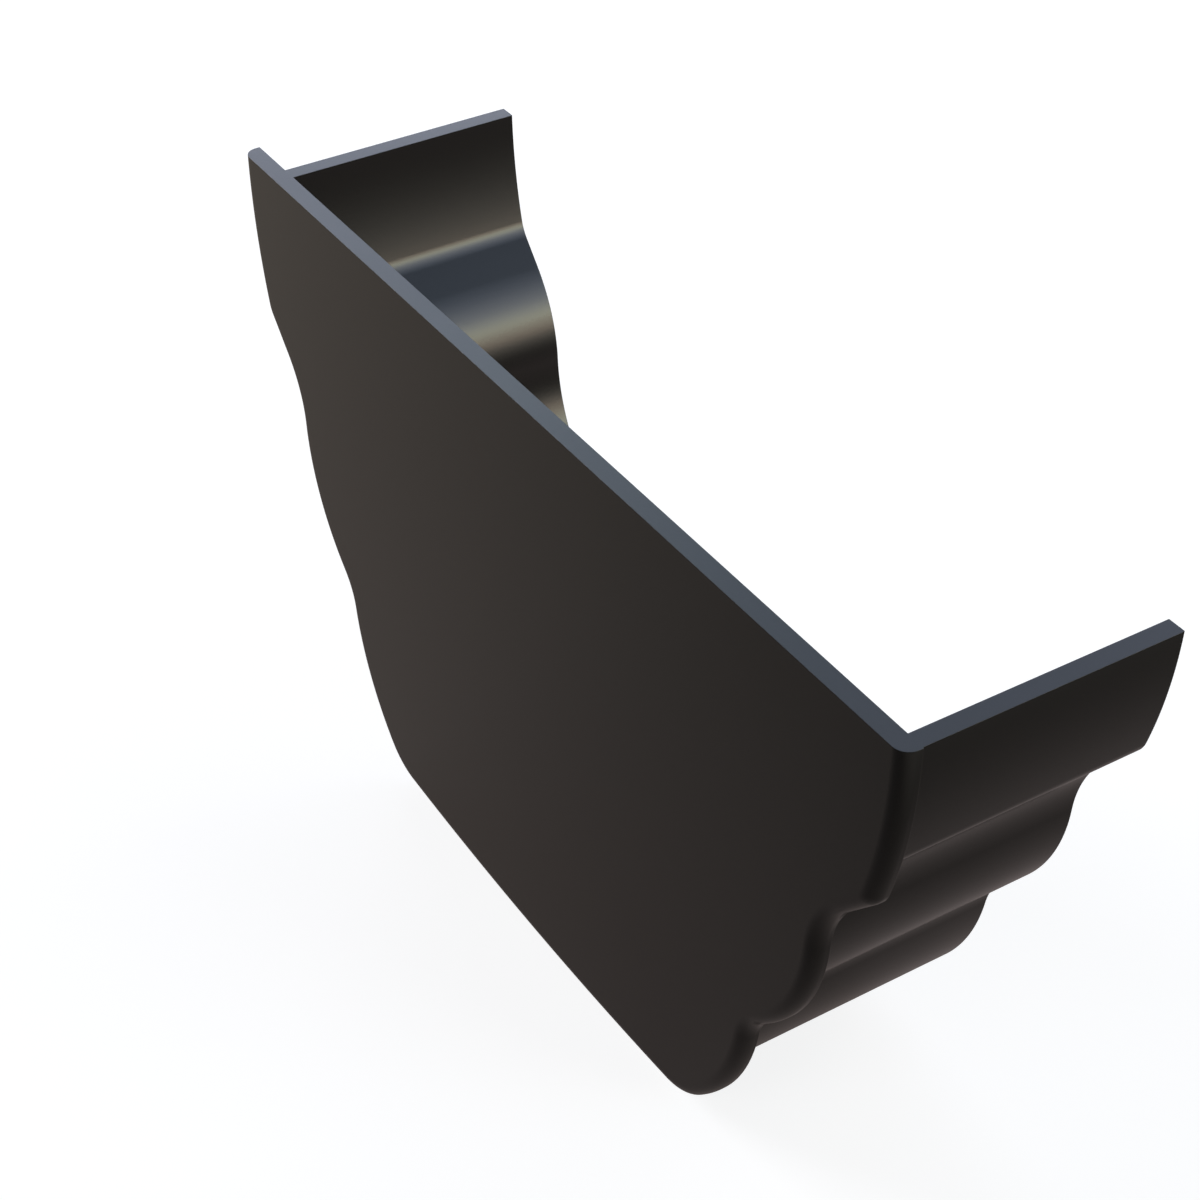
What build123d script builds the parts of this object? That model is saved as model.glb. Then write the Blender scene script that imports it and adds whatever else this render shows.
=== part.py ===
from build123d import *
from math import cos, radians, sin
import os

# Driving dimensions, in millimetres and degrees.
# The socket is the U-shaped wall that the end of the gutter slides into.
socket_width = 160.0
socket_length = 39.25
wall = 2.8

# The end plate closes the socket and stands proud of it as a lip. It sits off the
# socket's middle, so that the lip is wide at the back and narrow at the front.
plate_thickness = 2.9
lip = 4.6
plate_shift = 4.4
plate_drop = 3.76
rim_radius = 2.2
inner_rim_radius = 0.15

# The moulding on the outer face of the socket, from the open top down. Each angle
# is the slope off the vertical at the foot of its band.
top_angle = 1.2
fascia_radius = 82.5
fascia_angle = 15.8
nosing_radius = 0.65
step_angle = 42.3
step_length = 7.0
cove_radius = 21.1
cove_angle = 3.2
ovolo_radius = 31.1
ovolo_angle = 44.3
riser_length = 1.6
hollow_radius = 13.9
hollow_angle = 9.0
base_radius = 38.0
floor_angle = 85.5

# The last two bands turn the moulding under, more sharply on the socket.
socket_base_angle = 47.9
socket_heel_radius = 8.5
plate_base_angle = 43.4
plate_heel_radius = 6.9

# The moulding is drawn up past the open top by this angle, then cut off level.
overrun_angle = 9.0

fascia_centre = (
    socket_width / 2 - fascia_radius * cos(radians(top_angle)),
    fascia_radius * sin(radians(top_angle)),
)


def draw_moulding(grow, base_angle, heel_radius):
    """Draws the closed outline that lies `grow` outside the socket's outer face.

    X runs across, Y runs up, and the origin is the middle of the open top. Every
    band starts where the last one ends, tangent to it, so a band that bulges
    outwards gains `grow` in radius and a hollow one loses it. Returns half of the
    floor, which sags a little towards the middle.
    """
    fascia = CenterArc(
        fascia_centre,
        fascia_radius + grow,
        overrun_angle,
        -(overrun_angle + fascia_angle),
    )
    nosing = JernArc(fascia @ 1, fascia % 1, nosing_radius + grow, fascia_angle - step_angle)
    step = Line(nosing @ 1, nosing @ 1 + step_length * (nosing % 1))
    cove = JernArc(step @ 1, step % 1, cove_radius - grow, step_angle - cove_angle)
    ovolo = JernArc(cove @ 1, cove % 1, ovolo_radius + grow, cove_angle - ovolo_angle)
    riser = Line(ovolo @ 1, ovolo @ 1 + riser_length * (ovolo % 1))
    hollow = JernArc(riser @ 1, riser % 1, hollow_radius - grow, ovolo_angle - hollow_angle)
    base = JernArc(hollow @ 1, hollow % 1, base_radius + grow, hollow_angle - base_angle)
    heel = JernArc(base @ 1, base % 1, heel_radius + grow, base_angle - floor_angle)
    floor_radius = (heel @ 1).X / cos(radians(floor_angle))
    floor = JernArc(heel @ 1, heel % 1, floor_radius, floor_angle - 90)
    Line(fascia @ 0, (0, (fascia @ 0).Y))
    mirror(about=Plane.YZ)
    return floor


# The three outlines of the moulding: the socket, the gutter's space inside it and
# the plate. The wall is as thick all along, so the space inside keeps a crisp crease
# behind the nosing.
with BuildSketch() as shell:
    with BuildLine():
        draw_moulding(0, socket_base_angle, socket_heel_radius)
    make_face()

with BuildSketch() as bore:
    add(shell.sketch)
    offset(amount=-wall)

with BuildSketch() as rim:
    with BuildLine():
        rim_floor = draw_moulding(lip, plate_base_angle, plate_heel_radius)
    make_face()

# The part stands on the plate's lowest point, with the plate's middle at X = 0 and
# the plate's outer face and the socket's open end equally far from Y = 0.
plate_height = plate_drop - (rim_floor @ 1).Y
inner_face = (plate_thickness - socket_length) / 2
plate_plane = Plane(
    origin=(0, inner_face, plate_height - plate_drop), x_dir=(1, 0, 0), z_dir=(0, -1, 0)
)
socket_plane = Plane(
    origin=(plate_shift, inner_face, plate_height), x_dir=(1, 0, 0), z_dir=(0, -1, 0)
)
open_top = Plane.XY.offset(plate_height)

with BuildPart() as stop_end:
    with BuildSketch(plate_plane):
        add(rim.sketch)
    extrude(amount=plate_thickness)
    split(bisect_by=open_top, keep=Keep.BOTTOM)
    outer_face = stop_end.faces().sort_by(Axis.Y)[0]
    fillet(outer_face.edges().sort_by(Axis.Z)[:-1], radius=rim_radius)
    back_face = stop_end.faces().sort_by(Axis.Y)[-1]
    fillet(back_face.edges().sort_by(Axis.Z)[:-1], radius=inner_rim_radius)
    with BuildSketch(socket_plane):
        add(shell.sketch)
        add(bore.sketch, mode=Mode.SUBTRACT)
    extrude(amount=-socket_length)
    split(bisect_by=open_top, keep=Keep.BOTTOM)
stop_end.part.label = "stop_end"

os.makedirs("parts", exist_ok=True)
export_step(stop_end.part, "parts/stop_end.step")
print("plate height", round(plate_height, 3))
print("size", stop_end.part.bounding_box().size)
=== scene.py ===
"""Dressed model of a moulded gutter stop end, on a plain stage.

The file is laid out as an add-on: sizes and colours are properties, each piece has
an operator, and a panel lists them. Run as a script, it builds the whole scene.
Lengths are in metres and angles in radians. X runs across the gutter, Y runs from
the end plate towards the socket's open end, and Z runs up.
"""

from math import radians

import bpy
import numpy as np
from bpy.props import FloatProperty, FloatVectorProperty, IntProperty, PointerProperty
from mathutils import Matrix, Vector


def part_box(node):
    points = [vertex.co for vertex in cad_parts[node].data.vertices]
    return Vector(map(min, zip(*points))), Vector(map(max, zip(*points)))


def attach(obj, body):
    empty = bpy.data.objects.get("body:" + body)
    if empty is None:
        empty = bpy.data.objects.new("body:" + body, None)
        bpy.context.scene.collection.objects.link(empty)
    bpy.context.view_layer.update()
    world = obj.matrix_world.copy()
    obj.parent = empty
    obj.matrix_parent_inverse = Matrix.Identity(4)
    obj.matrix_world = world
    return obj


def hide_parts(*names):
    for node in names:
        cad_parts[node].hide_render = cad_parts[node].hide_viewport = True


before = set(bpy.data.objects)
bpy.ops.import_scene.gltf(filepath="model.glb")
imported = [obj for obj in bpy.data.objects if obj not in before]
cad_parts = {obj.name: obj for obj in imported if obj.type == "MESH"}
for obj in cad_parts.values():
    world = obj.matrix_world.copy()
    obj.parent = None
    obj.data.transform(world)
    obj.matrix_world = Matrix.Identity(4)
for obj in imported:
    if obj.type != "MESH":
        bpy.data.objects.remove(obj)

bl_info = {
    "name": "Gutter stop end",
    "version": (1, 0, 0),
    "blender": (4, 5, 0),
    "location": "View3D > Sidebar > Stop End",
    "description": "Builds a moulded gutter stop end and the stage it is shown on",
    "category": "Object",
}

NODE = "stop_end"
BOX_LOW, BOX_HIGH = (np.array(corner, float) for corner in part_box(NODE))
QUARTER = np.pi / 2

# How many facets each band of the moulding has along the outline.
BAND_STEPS = {
    "fascia": 22,
    "nosing": 10,
    "step": 6,
    "cove": 22,
    "ovolo": 26,
    "riser": 2,
    "hollow": 16,
    "base": 24,
    "heel": 14,
    "floor": 14,
}
# The rim's rounding is broad, so it has this many times the facets of a small edge.
RIM_FACETS = 3

PLASTIC_IOR = 1.52
# The plastic's grain is a fine noise. Its sheen wanders in patches, which are a broad
# noise that varies about its middle value.
GRAIN_DETAIL = 2.0
PATCH_SCALE = 28.0
PATCH_DETAIL = 3.0
NOISE_MIDDLE = 0.5

# Ramps on the floor, in metres: where each goes from nothing to full, along X, along
# Y, or with the distance from the middle.
LEFT_ALONG_X = (0.06, -0.25)
BEHIND_ALONG_Y = (-0.12, 0.06)
BEHIND_ALONG_X = (0.16, 0.04)
RIGHT_ALONG_X = (0.15, 0.60)
AWAY = (0.45, 1.10)

# Stops of a lamp column: elevation in degrees, power of a panel there in watts, and
# its red, green and blue.
RIGHT_STOPS = (
    (0, 1.75, 1.0, 0.79, 0.62),
    (12, 3.8, 0.99, 1.0, 0.78),
    (24, 2.0, 0.84, 0.91, 1.0),
    (36, 1.2, 0.68, 0.80, 1.0),
    (48, 0.63, 0.57, 0.74, 1.0),
    (60, 0.0, 0.57, 0.74, 1.0),
)
BACK_LEFT_STOPS = (
    (18, 4.1, 0.83, 0.77, 1.0),
    (30, 2.65, 0.72, 0.88, 1.0),
    (42, 2.05, 0.65, 0.83, 1.0),
    (54, 0.0, 0.65, 0.83, 1.0),
)
# Lamp columns: name, azimuth and height of a panel in degrees, and stops.
COLUMNS = (
    ("right", 30, 6, RIGHT_STOPS),
    ("back_left", 158, 12, BACK_LEFT_STOPS),
)
# Single lamps: name, azimuth, elevation and height in degrees, power in watts, colour.
LAMPS = (
    ("back_high", 122, 40, 24, 3.75, (0.70, 0.79, 1.0)),
    ("front_left", 210, 22, 17.6, 21.0, (0.89, 0.91, 1.0)),
    ("front_fill", 285, 35, 24, 4.5, (1.0, 1.0, 1.0)),
    ("back_fill", 88, 30, 24, 5.0, (1.0, 1.0, 1.0)),
)

# Width of the camera's sensor, in millimetres.
SENSOR_WIDTH = 36.0
# Numbers of a colour mix node's sockets: factor, first and second colour, result.
MIX_FACTOR, MIX_FIRST, MIX_SECOND, MIX_RESULT = 0, 6, 7, 2


def length(name, description, default):
    """Returns a property for a length in metres."""
    return FloatProperty(
        name=name, description=description, default=default, min=0.0,
        subtype="DISTANCE", unit="LENGTH",
    )


def angle(name, description, degrees):
    """Returns a property for an angle, given here in degrees."""
    return FloatProperty(
        name=name, description=description, default=radians(degrees), subtype="ANGLE"
    )


def colour(name, description, default):
    """Returns a property for a linear colour."""
    return FloatVectorProperty(
        name=name, description=description, default=default, size=3, min=0.0, max=1.0,
        subtype="COLOR",
    )


def number(name, description, default, high=100.0):
    """Returns a property for a plain number."""
    return FloatProperty(name=name, description=description, default=default, min=0.0, max=high)


class StopEndSizes(bpy.types.PropertyGroup):
    """Sizes of the part: the socket, the end plate and the bands of the moulding."""

    socket_width: length("Socket width", "Over the socket's walls at the open top", 0.160)
    wall: length("Wall", "Thickness of the socket's wall", 0.0028)
    plate_thickness: length("Plate thickness", "Thickness of the end plate", 0.0029)
    lip: length("Lip", "How far the plate's outline stands outside the socket's", 0.0046)
    plate_shift: length("Plate shift", "How far the socket sits off the plate's middle", 0.0044)
    plate_drop: length(
        "Plate drop", "How far the plate's outline hangs below the socket's", 0.00376
    )
    rim_radius: length("Rim radius", "Rounding of the plate's outer edge", 0.0022)
    inner_rim_radius: length("Inner rim radius", "Rounding of the plate's inner edge", 0.00012)
    root_radius: length("Root radius", "Fillet where the socket meets the plate", 0.00006)
    mouth_radius: length("Mouth radius", "Rounding of the socket's open end", 0.00012)
    top_radius: length("Top radius", "Rounding of the edges of the level cut", 0.00004)
    brow_radius: length("Brow radius", "Rounding of the nosing on the socket's outer face", 0.0053)
    crease_radius: length("Crease radius", "Rounding of the crease behind the nosing", 0.006)
    top_angle: angle("Top angle", "Slope of the fascia at the open top", 1.2)
    fascia_radius: length("Fascia radius", "Bulge of the top band", 0.0825)
    fascia_angle: angle("Fascia angle", "Slope at the foot of the top band", 15.8)
    nosing_radius: length("Nosing radius", "Rounding under the top band", 0.00065)
    step_angle: angle("Step angle", "Slope of the straight step", 42.3)
    step_length: length("Step length", "Length of the straight step", 0.007)
    cove_radius: length("Cove radius", "Hollow band under the step", 0.0211)
    cove_angle: angle("Cove angle", "Slope at the foot of the cove", 3.2)
    ovolo_radius: length("Ovolo radius", "Bulging middle band", 0.0311)
    ovolo_angle: angle("Ovolo angle", "Slope at the foot of the ovolo", 44.3)
    riser_length: length("Riser length", "Straight run under the ovolo", 0.0016)
    hollow_radius: length("Hollow radius", "Small hollow band", 0.0139)
    hollow_angle: angle("Hollow angle", "Slope at the foot of the hollow", 9.0)
    base_radius: length("Base radius", "Bulging bottom band", 0.038)
    floor_angle: angle("Floor angle", "Slope where the heel meets the floor", 85.5)
    socket_base_angle: angle(
        "Socket base angle", "Slope at the foot of the socket's base band", 47.9
    )
    socket_heel_radius: length("Socket heel radius", "Rounding into the socket's floor", 0.0085)
    plate_base_angle: angle("Plate base angle", "Slope at the foot of the plate's base band", 43.4)
    plate_heel_radius: length("Plate heel radius", "Rounding into the plate's bottom edge", 0.0069)
    edge_steps: IntProperty(
        name="Edge steps", description="Facets round each small edge", default=5, min=2
    )


class FinishSettings(bpy.types.PropertyGroup):
    """Colours and surface figures of the plastic."""

    skin_colour: colour("Skin colour", "Moulded anthracite plastic", (0.017, 0.015, 0.014))
    # The level cut's colour is lighter and bluer than the skin's. That is a painted bluish sheen,
    # standing in for the bluish light that the cut reflects.
    edge_colour_and_sheen: colour("Edge colour", "Plastic on the level cut", (0.030, 0.033, 0.040))
    skin_roughness: number("Skin roughness", "Roughness of the moulded skin", 0.20, 1.0)
    edge_roughness: number("Edge roughness", "Roughness of the level cut", 0.30, 1.0)
    skin_wander: number("Skin wander", "How far the skin's roughness varies", 0.06, 1.0)
    edge_wander: number("Edge wander", "How far the level cut's roughness varies", 0.10, 1.0)
    skin_relief: number("Skin relief", "Strength of the grain on the skin", 0.25, 1.0)
    edge_relief: number("Edge relief", "Strength of the grain on the level cut", 0.35, 1.0)
    grain_size: length("Grain size", "Spacing of the faint moulded grain", 0.0006)
    grain_height: length("Grain height", "Height of the faint moulded grain", 0.00002)


class StageSettings(bpy.types.PropertyGroup):
    """Camera, lamps and background."""

    camera_place: FloatVectorProperty(
        name="Camera place", description="Where the camera stands", size=3,
        subtype="XYZ", unit="LENGTH", default=(0.24302, -0.16054, 0.28414),
    )
    camera_right: FloatVectorProperty(
        name="Camera right", description="Direction of the picture's right side", size=3,
        default=(0.53162, 0.84698, 0.00014),
    )
    camera_down: FloatVectorProperty(
        name="Camera down", description="Direction of the picture's lower side", size=3,
        default=(0.51980, -0.32614, -0.78959),
    )
    camera_lens: FloatProperty(
        name="Lens", description="Focal length in millimetres", default=74.63
    )
    lamp_distance: length("Lamp distance", "From the part's middle to each lamp", 2.0)
    lamp_width: length("Lamp width", "Width of each soft lamp", 0.9)
    floor_radius: length("Floor radius", "Half the width of the floor", 4.0)
    floor_colour: colour("Floor colour", "Floor as the part sees it", (0.17, 0.153, 0.136))
    floor_seen: colour(
        "Floor seen", "Floor as the camera sees it, before the lift", (0.38, 0.38, 0.38)
    )
    white_lift: number(
        "White lift", "Light that lifts the floor to white for the camera, near the part", 0.83
    )
    glow_left: colour(
        "Left glow", "Floor on the left, as the part's gloss sees it", (0.218, 0.187, 0.146)
    )
    glow_back: colour(
        "Back glow", "Floor under the socket, as the part's gloss sees it", (0.208, 0.169, 0.165)
    )
    glow_white: colour(
        "White glow", "Floor away from the part, as its gloss sees it", (1.0, 0.96, 0.84)
    )
    surround_level: number("Surround level", "Strength of the surround's light on the part", 0.01)


def sizes():
    """Returns the part's sizes."""
    return bpy.context.scene.stop_end_sizes


def band_arc(start, radius, from_slope, to_slope, bulge, steps):
    """Points of an arc that runs down the moulding, after its start point.

    For a slope s off the vertical, a bulging arc is start + r(cos s, -sin s), and a
    hollow one start - r(cos s, -sin s), both less their value at the first slope.
    """
    slope = np.linspace(from_slope, to_slope, steps + 1)[1:]
    sign = 1.0 if bulge else -1.0
    x = start[0] + sign * radius * (np.cos(slope) - np.cos(from_slope))
    z = start[1] - sign * radius * (np.sin(slope) - np.sin(from_slope))
    return np.stack([x, z, slope], 1)


def band_line(start, run, slope, steps):
    """Points of a straight band: start + t(-sin slope, -cos slope) for t up to run."""
    t = np.linspace(0.0, run, steps + 1)[1:]
    x = start[0] - t * np.sin(slope)
    z = start[1] - t * np.cos(slope)
    return np.stack([x, z, np.full(steps, slope)], 1)


def moulding(grow, drop, nosing, base_angle, heel_radius):
    """Returns the outline of the moulding as rows of x, z and slope.

    The outline lies `grow` outside the socket's outer face and `drop` below it. It
    starts on the level cut at z = 0, on the right, and runs down to the middle of
    the bottom, then up the left as the mirror image. A bulging band has its radius
    plus grow, and a hollow band its radius less grow. Only the nosing has a radius
    of its own on each face, c: its arc touches both the fascia and the step. With f
    the fascia's radius and n the plain nosing's, its centre lies f + grow - c from
    the fascia's centre, at the slope s for which
    (f + grow - c) cos(step - s) is (f - n) cos(step - fascia) + n + grow - c.
    """
    p = sizes()
    centre_x = p.socket_width / 2 - p.fascia_radius * np.cos(p.top_angle)
    centre_z = p.fascia_radius * np.sin(p.top_angle) - drop
    radius = p.fascia_radius + grow
    cut_slope = np.arcsin(centre_z / radius)
    arm = p.fascia_radius - p.nosing_radius
    reach = arm * np.cos(p.step_angle - p.fascia_angle)
    reach += p.nosing_radius + grow - nosing
    fascia_foot = p.step_angle - np.arccos(reach / (radius - nosing))

    # The straight step's ends, from the fascia's centre: its length takes up what the
    # nosing leaves, so the bands below it stay where they are.
    across = np.array([np.cos(p.step_angle), -np.sin(p.step_angle)])
    along = np.array([-np.sin(p.step_angle), -np.cos(p.step_angle)])
    step_foot = arm * np.array([np.cos(p.fascia_angle), -np.sin(p.fascia_angle)])
    step_foot += (p.nosing_radius + grow) * across + p.step_length * along
    step_head = (radius - nosing) * np.array([np.cos(fascia_foot), -np.sin(fascia_foot)])
    step_head += nosing * across

    top = np.array([[centre_x + radius * np.cos(cut_slope), 0.0, cut_slope]])
    rows = [top]

    def arc(band, radius, from_slope, to_slope, bulge):
        rows.append(
            band_arc(rows[-1][-1], radius, from_slope, to_slope, bulge, BAND_STEPS[band])
        )

    def line(band, run, slope):
        rows.append(band_line(rows[-1][-1], run, slope, BAND_STEPS[band]))

    arc("fascia", radius, cut_slope, fascia_foot, True)
    arc("nosing", nosing, fascia_foot, p.step_angle, True)
    line("step", (step_foot - step_head) @ along, p.step_angle)
    arc("cove", p.cove_radius - grow, p.step_angle, p.cove_angle, False)
    arc("ovolo", p.ovolo_radius + grow, p.cove_angle, p.ovolo_angle, True)
    line("riser", p.riser_length, p.ovolo_angle)
    arc("hollow", p.hollow_radius - grow, p.ovolo_angle, p.hollow_angle, False)
    arc("base", p.base_radius + grow, p.hollow_angle, base_angle, True)
    arc("heel", heel_radius + grow, base_angle, p.floor_angle, True)
    floor_radius = rows[-1][-1][0] / np.cos(p.floor_angle)
    arc("floor", floor_radius, p.floor_angle, QUARTER, True)
    right = np.concatenate(rows)
    left = right[-2::-1] * (-1.0, 1.0, -1.0)
    left[:, 2] += np.pi
    return np.concatenate([right, left])


def section_rows():
    """Returns the cross-section of the part as a list of rows, one per outline.

    A row is (plate or socket, grow, y, out, along): the outline that lies `grow`
    outside the socket's outer face, at depth y, where the surface normal is `out`
    times the outline's normal plus `along` times the Y direction. The rows run from
    the plate's outer face round its rim, over the lip, along the outside of the
    socket, round its mouth, and back along the inside to the plate's inner face.

    Each edge and fillet is a quarter turn. For a turn a from 0 to a quarter, the
    normal is cos a times its first normal plus sin a times its last, and the point
    is the centre plus the radius times the normal, or less it in a fillet.
    """
    p = sizes()
    small = np.linspace(0.0, QUARTER, p.edge_steps + 1)
    broad = np.linspace(0.0, QUARTER, RIM_FACETS * p.edge_steps + 1)
    y0 = BOX_LOW[1]
    y1 = y0 + p.plate_thickness
    y2 = BOX_HIGH[1]
    rim, inner, root, mouth = p.rim_radius, p.inner_rim_radius, p.root_radius, p.mouth_radius
    # Plate or socket, turns, centre (grow, y), signed radius, first and last normal.
    corners = (
        (True, broad, (p.lip - rim, y0 + rim), rim, (0, -1), (1, 0)),
        (True, small, (p.lip - inner, y1 - inner), inner, (1, 0), (0, 1)),
        (False, small, (root, y1 + root), -root, (0, 1), (1, 0)),
        (False, small, (-mouth, y2 - mouth), mouth, (1, 0), (0, 1)),
        (False, small, (mouth - p.wall, y2 - mouth), mouth, (0, 1), (-1, 0)),
        (False, small, (-root - p.wall, y1 + root), -root, (-1, 0), (0, 1)),
    )
    rows = []
    for is_plate, turns, centre, radius, first, last in corners:
        for a in turns:
            normal = np.cos(a) * np.array(first) + np.sin(a) * np.array(last)
            rows.append((is_plate, *(centre + radius * normal), *normal))
    return rows


def shell_grid():
    """Returns the points and normals of the shell's grid, and its numbering.

    The surface is a grid: one direction runs along the moulding's outline, the other
    round the part's cross-section. Its first and last columns lie on the level cut.
    """
    p = sizes()
    top = BOX_HIGH[2]
    points, normals = [], []
    for is_plate, grow, y, out, along in section_rows():
        if is_plate:
            shift, drop = 0.0, p.plate_drop
            nosing = p.nosing_radius + grow
            base_angle, heel_radius = p.plate_base_angle, p.plate_heel_radius
        else:
            shift, drop = p.plate_shift, 0.0
            outside = grow > -p.wall / 2
            nosing = p.brow_radius + grow if outside else p.crease_radius + p.wall + grow
            base_angle, heel_radius = p.socket_base_angle, p.socket_heel_radius
        x, z, slope = moulding(grow, drop - p.top_radius, nosing, base_angle, heel_radius).T
        depth, steady = np.full_like(x, y), np.full_like(x, along)
        points.append(np.stack([x + shift, depth, z + top - p.top_radius], 1))
        normals.append(np.stack([out * np.cos(slope), steady, -out * np.sin(slope)], 1))
    rows, columns = len(points), len(points[0])
    grid = np.arange(rows * columns).reshape(rows, columns)
    return np.concatenate(points), np.concatenate(normals), grid


def shell_surface():
    """Returns the shell's points, normals, quads, cap and count of faces on the skin.

    Both ends of the grid are flat faces, closed by quads that join a point on the
    right to its mirror image on the left. The open top is a loop round the whole
    grid, rounded over by rings: for a turn a from 0 to a quarter, a ring is the loop
    moved in by r(1 - cos a) and up by r sin a. The cap fills the last ring.
    """
    p = sizes()
    points, normals, grid = shell_grid()
    sides = [grid[:-1, :-1], grid[:-1, 1:], grid[1:, 1:], grid[1:, :-1]]
    quads = [np.stack(sides, -1).reshape(-1, 4)]

    # The face at the bottom's middle is a triangle: a quad whose last point repeats.
    half = grid.shape[1] // 2
    for row, turned in ((grid[0], True), (grid[-1], False)):
        left = row[::-1]
        face = np.stack([row[:half - 1], row[1:half], left[1:half], left[:half - 1]], -1)
        tip = np.array([[row[half - 1], row[half], left[half - 1], left[half - 1]]])
        quads += [face[:, ::-1], tip[:, ::-1]] if turned else [face, tip]

    loop = np.concatenate([grid[:, 0], grid[::-1, -1]])
    level = normals[loop] * (1.0, 1.0, 0.0)
    level /= np.linalg.norm(level, axis=1)[:, None]
    base = points[loop]
    previous = loop
    skin_faces = sum(len(block) for block in quads)
    for a in np.linspace(0.0, QUARTER, p.edge_steps + 1)[1:]:
        inward, upward = p.top_radius * (1 - np.cos(a)), p.top_radius * np.sin(a)
        ids = len(points) + np.arange(len(loop))
        points = np.concatenate([points, base - inward * level + (0.0, 0.0, upward)])
        normals = np.concatenate([normals, np.cos(a) * level + (0.0, 0.0, np.sin(a))])
        quads.append(np.stack([previous, np.roll(previous, -1), np.roll(ids, -1), ids], -1))
        previous = ids
    normals /= np.linalg.norm(normals, axis=1)[:, None]
    return points, normals, np.concatenate(quads), previous, skin_faces


def mesh_object(name, points, normals, faces):
    """Puts arrays of points, faces and vertex normals into a new mesh object."""
    mesh = bpy.data.meshes.new(name)
    mesh.from_pydata(points.tolist(), [], faces)
    mesh.validate()
    mesh.polygons.foreach_set("use_smooth", np.ones(len(mesh.polygons), bool))
    mesh.normals_split_custom_set_from_vertices(normals.tolist())
    piece = bpy.data.objects.new(name, mesh)
    bpy.context.scene.collection.objects.link(piece)
    return piece


class NodeTree:
    """Small helper that adds nodes and links to one node tree."""

    def __init__(self, tree):
        self.tree = tree

    def add(self, kind, **values):
        """Adds a node, sets its attributes, and returns it."""
        node = self.tree.nodes.new(kind)
        for name, value in values.items():
            setattr(node, name, value)
        return node

    def link(self, source, target):
        """Joins an output socket to an input socket."""
        self.tree.links.new(source, target)


def grain_group():
    """Node group: the faint grain and sheen variation of moulded plastic.

    Takes the grain's scale, a roughness and how far the roughness wanders. Puts out a
    height for a bump, and a roughness that varies a little over the surface.
    """
    name = "moulded_grain"
    if name in bpy.data.node_groups:
        return bpy.data.node_groups[name]
    group = bpy.data.node_groups.new(name, "ShaderNodeTree")
    for label in ("Scale", "Roughness", "Wander"):
        group.interface.new_socket(label, in_out="INPUT", socket_type="NodeSocketFloat")
    for label in ("Height", "Roughness"):
        group.interface.new_socket(label, in_out="OUTPUT", socket_type="NodeSocketFloat")
    t = NodeTree(group)
    entry = t.add("NodeGroupInput")
    leave = t.add("NodeGroupOutput")
    place = t.add("ShaderNodeTexCoord")
    fine = t.add("ShaderNodeTexNoise")
    fine.inputs["Detail"].default_value = GRAIN_DETAIL
    t.link(place.outputs["Object"], fine.inputs["Vector"])
    t.link(entry.outputs["Scale"], fine.inputs["Scale"])
    t.link(fine.outputs["Fac"], leave.inputs["Height"])
    patches = t.add("ShaderNodeTexNoise")
    patches.inputs["Scale"].default_value = PATCH_SCALE
    patches.inputs["Detail"].default_value = PATCH_DETAIL
    t.link(place.outputs["Object"], patches.inputs["Vector"])
    centred = t.add("ShaderNodeMath", operation="SUBTRACT")
    centred.inputs[1].default_value = NOISE_MIDDLE
    t.link(patches.outputs["Fac"], centred.inputs[0])
    scaled = t.add("ShaderNodeMath", operation="MULTIPLY_ADD")
    t.link(centred.outputs[0], scaled.inputs[0])
    t.link(entry.outputs["Wander"], scaled.inputs[1])
    t.link(entry.outputs["Roughness"], scaled.inputs[2])
    t.link(scaled.outputs[0], leave.inputs["Roughness"])
    return group


def plastic(name, finish, tint, roughness, wander, relief):
    """Returns a plastic material: colour, wandering gloss and a faint grain."""
    material = bpy.data.materials.new(name)
    material.use_nodes = True
    t = NodeTree(material.node_tree)
    shader = material.node_tree.nodes["Principled BSDF"]
    shader.inputs["Base Color"].default_value = (*tint, 1.0)
    shader.inputs["IOR"].default_value = PLASTIC_IOR
    surface = t.add("ShaderNodeGroup")
    surface.node_tree = grain_group()
    surface.inputs["Scale"].default_value = 1.0 / finish.grain_size
    surface.inputs["Roughness"].default_value = roughness
    surface.inputs["Wander"].default_value = wander
    bump = t.add("ShaderNodeBump")
    bump.inputs["Strength"].default_value = relief
    bump.inputs["Distance"].default_value = finish.grain_height
    t.link(surface.outputs["Height"], bump.inputs["Height"])
    t.link(surface.outputs["Roughness"], shader.inputs["Roughness"])
    t.link(bump.outputs["Normal"], shader.inputs["Normal"])
    return material


class STOPEND_OT_add_shell(bpy.types.Operator):
    """Add the moulded shell: end plate, lip and socket in one piece"""

    bl_idname = "stop_end.add_shell"
    bl_label = "Add Shell"

    def execute(self, context):
        points, normals, quads, cap, skin_faces = shell_surface()
        faces = [tuple(dict.fromkeys(quad)) for quad in quads.tolist()]
        faces.append(tuple(cap.tolist()))
        piece = mesh_object("stop_end_shell", points, normals, faces)
        finish = context.scene.stop_end_finish
        piece.data.materials.append(plastic(
            "moulded_skin", finish, finish.skin_colour, finish.skin_roughness,
            finish.skin_wander, finish.skin_relief,
        ))
        # The second material, for the level cut, carries the painted bluish sheen in its base
        # colour.
        piece.data.materials.append(plastic(
            "level_cut_painted_sheen", finish, finish.edge_colour_and_sheen, finish.edge_roughness,
            finish.edge_wander, finish.edge_relief,
        ))
        on_cut = np.zeros(len(faces), np.int32)
        on_cut[skin_faces:] = 1
        piece.data.polygons.foreach_set("material_index", on_cut)
        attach(piece, "root")
        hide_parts(NODE)
        return {"FINISHED"}


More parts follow.
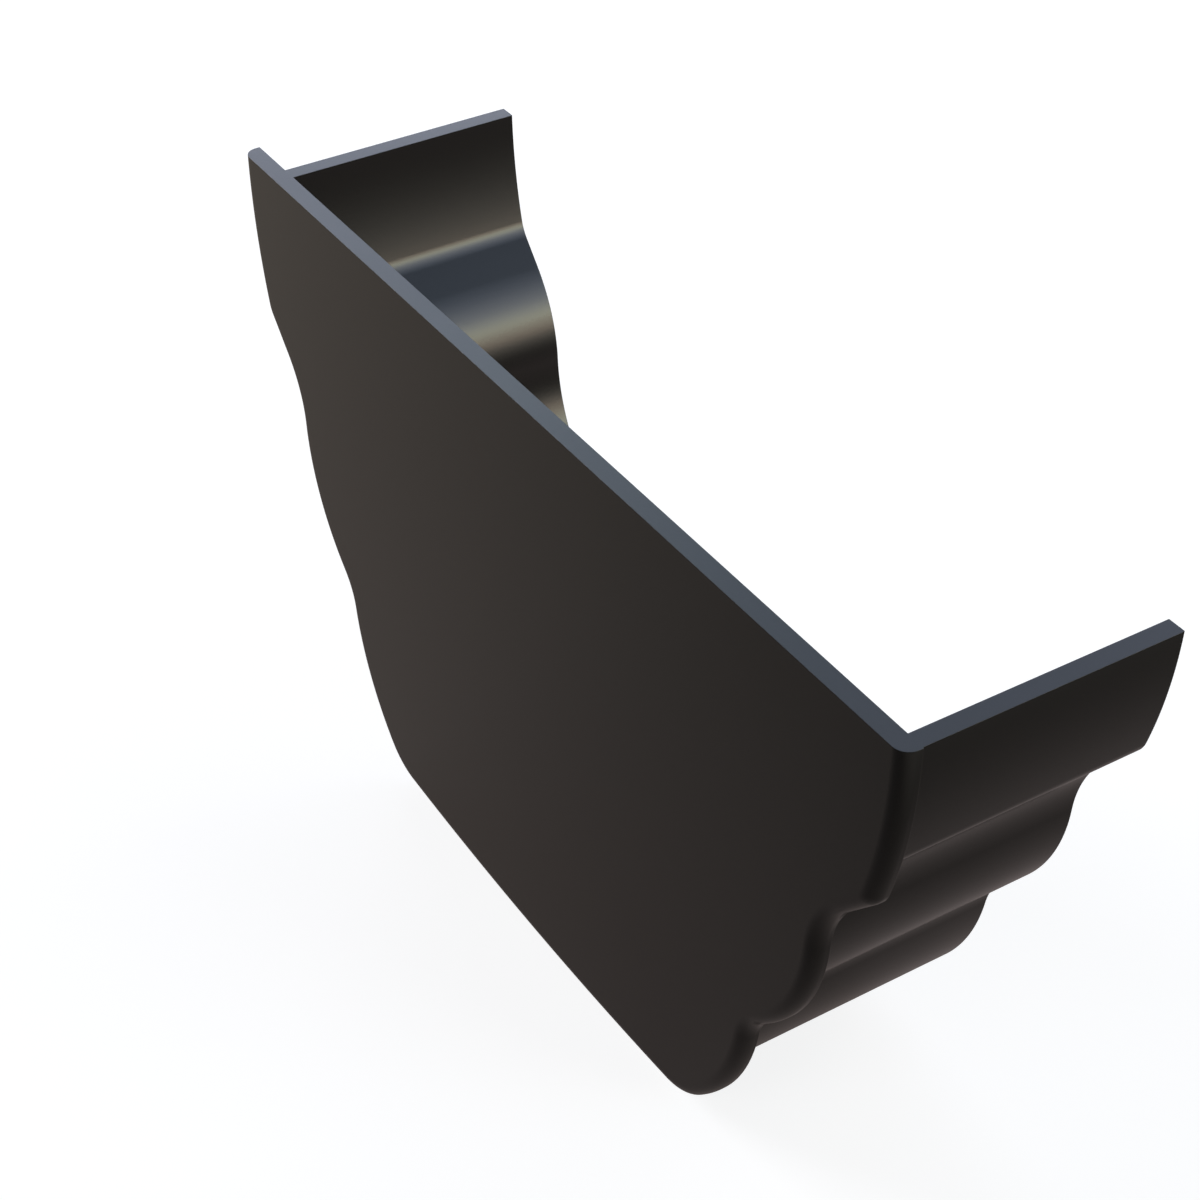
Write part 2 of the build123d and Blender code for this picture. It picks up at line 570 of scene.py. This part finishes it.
def add_lamp(name, azimuth, elevation, height, power, tint):
    """Adds a soft panel lamp that faces the part's middle.

    The azimuth is in degrees from +X towards +Y and the elevation in degrees above
    the floor, both seen from the part's middle. So is the panel's height.
    """
    stage = bpy.context.scene.stop_end_stage
    data = bpy.data.lights.new(name, "AREA")
    data.shape = "RECTANGLE"
    data.size = stage.lamp_width
    data.size_y = 2 * stage.lamp_distance * np.tan(radians(height) / 2)
    data.energy = power
    data.color = tint
    lamp = bpy.data.objects.new(name, data)
    turn, rise = radians(azimuth), radians(elevation)
    back = np.array(
        [np.cos(rise) * np.cos(turn), np.cos(rise) * np.sin(turn), np.sin(rise)]
    )
    right = np.array([-np.sin(turn), np.cos(turn), 0.0])
    axes = np.stack([right, np.cross(back, right), back], 1)
    place = (0.0, 0.0, BOX_HIGH[2] / 2) + stage.lamp_distance * back
    lamp.matrix_world = Matrix.Translation(place) @ Matrix(axes.tolist()).to_4x4()
    bpy.context.scene.collection.objects.link(lamp)


def add_column(name, azimuth, height, stops):
    """Adds a column of panel lamps, edge to edge, that fades from one stop to the next.

    Between two stops each value goes in a straight line, so that the gloss shows a
    smooth fade. The panels start at the first stop and end before the last.
    """
    stops = np.array(stops)
    for index, elevation in enumerate(np.arange(stops[0, 0], stops[-1, 0], height)):
        power, *tint = (np.interp(elevation, stops[:, 0], values) for values in stops.T[1:])
        add_lamp(f"{name}_{index}", azimuth, elevation, height, power, tint)


def add_camera(stage):
    """Adds the camera from its place and the directions of the picture's sides."""
    data = bpy.data.cameras.new("camera")
    data.sensor_width = SENSOR_WIDTH
    data.lens = stage.camera_lens
    camera = bpy.data.objects.new("camera", data)
    right = np.array(stage.camera_right)
    up = -np.array(stage.camera_down)
    turn = np.stack([right, up, np.cross(right, up)], 1)
    camera.matrix_world = Matrix.Translation(stage.camera_place) @ Matrix(turn.tolist()).to_4x4()
    bpy.context.scene.collection.objects.link(camera)
    bpy.context.scene.camera = camera


def floor_material(stage):
    """Pale floor that the camera sees as white, with the part's shadow kept.

    The part's gloss sees it too, as white some way off and dimmer nearby: each glow
    is a colour times ramps that rise from 0 to 1 along X, along Y or with distance.
    """
    material = bpy.data.materials.new("floor")
    material.use_nodes = True
    material.node_tree.nodes.clear()
    t = NodeTree(material.node_tree)
    rays = t.add("ShaderNodeLightPath")
    seen = t.add("ShaderNodeMix", data_type="RGBA")
    seen.inputs[MIX_FIRST].default_value = (*stage.floor_colour, 1.0)
    seen.inputs[MIX_SECOND].default_value = (*stage.floor_seen, 1.0)
    t.link(rays.outputs["Is Camera Ray"], seen.inputs[MIX_FACTOR])
    matt = t.add("ShaderNodeBsdfDiffuse")
    t.link(seen.outputs[MIX_RESULT], matt.inputs["Color"])

    place = t.add("ShaderNodeTexCoord")
    axes = t.add("ShaderNodeSeparateXYZ")
    t.link(place.outputs["Object"], axes.inputs[0])
    distance = t.add("ShaderNodeVectorMath", operation="LENGTH")
    t.link(place.outputs["Object"], distance.inputs[0])

    def ramp(value, ends, low=0.0):
        node = t.add("ShaderNodeMapRange")
        node.inputs["From Min"].default_value, node.inputs["From Max"].default_value = ends
        node.inputs["To Min"].default_value = low
        t.link(value, node.inputs["Value"])
        return node.outputs["Result"]

    def tinted(level, tint):
        node = t.add("ShaderNodeVectorMath", operation="SCALE")
        node.inputs[0].default_value = tint
        t.link(level, node.inputs["Scale"])
        return node.outputs[0]

    def total(one, other):
        node = t.add("ShaderNodeVectorMath", operation="ADD")
        t.link(one, node.inputs[0])
        t.link(other, node.inputs[1])
        return node.outputs[0]

    x, y, far = axes.outputs["X"], axes.outputs["Y"], distance.outputs["Value"]
    behind = t.add("ShaderNodeMath", operation="MULTIPLY")
    t.link(ramp(y, BEHIND_ALONG_Y), behind.inputs[0])
    t.link(ramp(x, BEHIND_ALONG_X), behind.inputs[1])
    away = t.add("ShaderNodeMath", operation="MAXIMUM")
    t.link(ramp(x, RIGHT_ALONG_X), away.inputs[0])
    t.link(ramp(far, AWAY), away.inputs[1])
    glow = tinted(ramp(x, LEFT_ALONG_X), stage.glow_left)
    glow = total(glow, tinted(behind.outputs[0], stage.glow_back))
    glow = total(glow, tinted(away.outputs[0], stage.glow_white))
    gloss = t.add("ShaderNodeEmission")
    t.link(glow, gloss.inputs["Color"])
    t.link(rays.outputs["Is Glossy Ray"], gloss.inputs["Strength"])

    white = t.add("ShaderNodeEmission")
    lift = t.add("ShaderNodeMath", operation="MULTIPLY")
    t.link(rays.outputs["Is Camera Ray"], lift.inputs[0])
    t.link(ramp(far, AWAY, stage.white_lift), lift.inputs[1])
    t.link(lift.outputs[0], white.inputs["Strength"])
    surface = matt.outputs[0]
    for source in (gloss, white):
        both = t.add("ShaderNodeAddShader")
        t.link(surface, both.inputs[0])
        t.link(source.outputs[0], both.inputs[1])
        surface = both.outputs[0]
    out = t.add("ShaderNodeOutputMaterial")
    t.link(surface, out.inputs["Surface"])
    return material


def add_floor(stage):
    """Adds a flat square floor at z = 0."""
    r = stage.floor_radius
    corners = [(-r, -r, 0.0), (r, -r, 0.0), (r, r, 0.0), (-r, r, 0.0)]
    mesh = bpy.data.meshes.new("floor")
    mesh.from_pydata(corners, [], [(0, 1, 2, 3)])
    mesh.materials.append(floor_material(stage))
    floor = bpy.data.objects.new("floor", mesh)
    bpy.context.scene.collection.objects.link(floor)


def add_world(stage):
    """Adds an even surround: dim for the part, and white where the camera sees it."""
    world = bpy.data.worlds.new("surround")
    world.use_nodes = True
    t = NodeTree(world.node_tree)
    rays = t.add("ShaderNodeLightPath")
    strength = t.add("ShaderNodeMapRange")
    strength.inputs["To Min"].default_value = stage.surround_level
    strength.inputs["To Max"].default_value = 1.0
    t.link(rays.outputs["Is Camera Ray"], strength.inputs["Value"])
    surround = world.node_tree.nodes["Background"]
    surround.inputs["Color"].default_value = (1.0, 1.0, 1.0, 1.0)
    t.link(strength.outputs["Result"], surround.inputs["Strength"])
    bpy.context.scene.world = world


class STOPEND_OT_add_stage(bpy.types.Operator):
    """Add the floor, the surround, the lamps and the camera"""

    bl_idname = "stop_end.add_stage"
    bl_label = "Add Stage"

    def execute(self, context):
        stage = context.scene.stop_end_stage
        context.scene.view_settings.view_transform = "Standard"
        add_floor(stage)
        add_world(stage)
        add_camera(stage)
        for column in COLUMNS:
            add_column(*column)
        for lamp in LAMPS:
            add_lamp(*lamp)
        return {"FINISHED"}


class STOPEND_PT_panel(bpy.types.Panel):
    """Lists the operators and the properties that they read"""

    bl_idname = "STOPEND_PT_panel"
    bl_label = "Gutter Stop End"
    bl_space_type = "VIEW_3D"
    bl_region_type = "UI"
    bl_category = "Stop End"

    def draw(self, context):
        for operator in (STOPEND_OT_add_shell, STOPEND_OT_add_stage):
            self.layout.operator(operator.bl_idname)
        scene = context.scene
        for settings in (scene.stop_end_sizes, scene.stop_end_finish, scene.stop_end_stage):
            box = self.layout.box()
            for name in settings.__annotations__:
                box.prop(settings, name)


SETTINGS = {
    "stop_end_sizes": StopEndSizes,
    "stop_end_finish": FinishSettings,
    "stop_end_stage": StageSettings,
}
CLASSES = (*SETTINGS.values(), STOPEND_OT_add_shell, STOPEND_OT_add_stage, STOPEND_PT_panel)


def register():
    """Registers the classes and hangs the settings on the scene."""
    for item in CLASSES:
        bpy.utils.register_class(item)
    for name, group in SETTINGS.items():
        setattr(bpy.types.Scene, name, PointerProperty(type=group))


def unregister():
    """Takes away what register added."""
    for name in SETTINGS:
        delattr(bpy.types.Scene, name)
    for item in reversed(CLASSES):
        bpy.utils.unregister_class(item)


def main():
    register()
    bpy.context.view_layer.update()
    bpy.ops.stop_end.add_shell()
    bpy.ops.stop_end.add_stage()


if __name__ == "__main__":
    main()
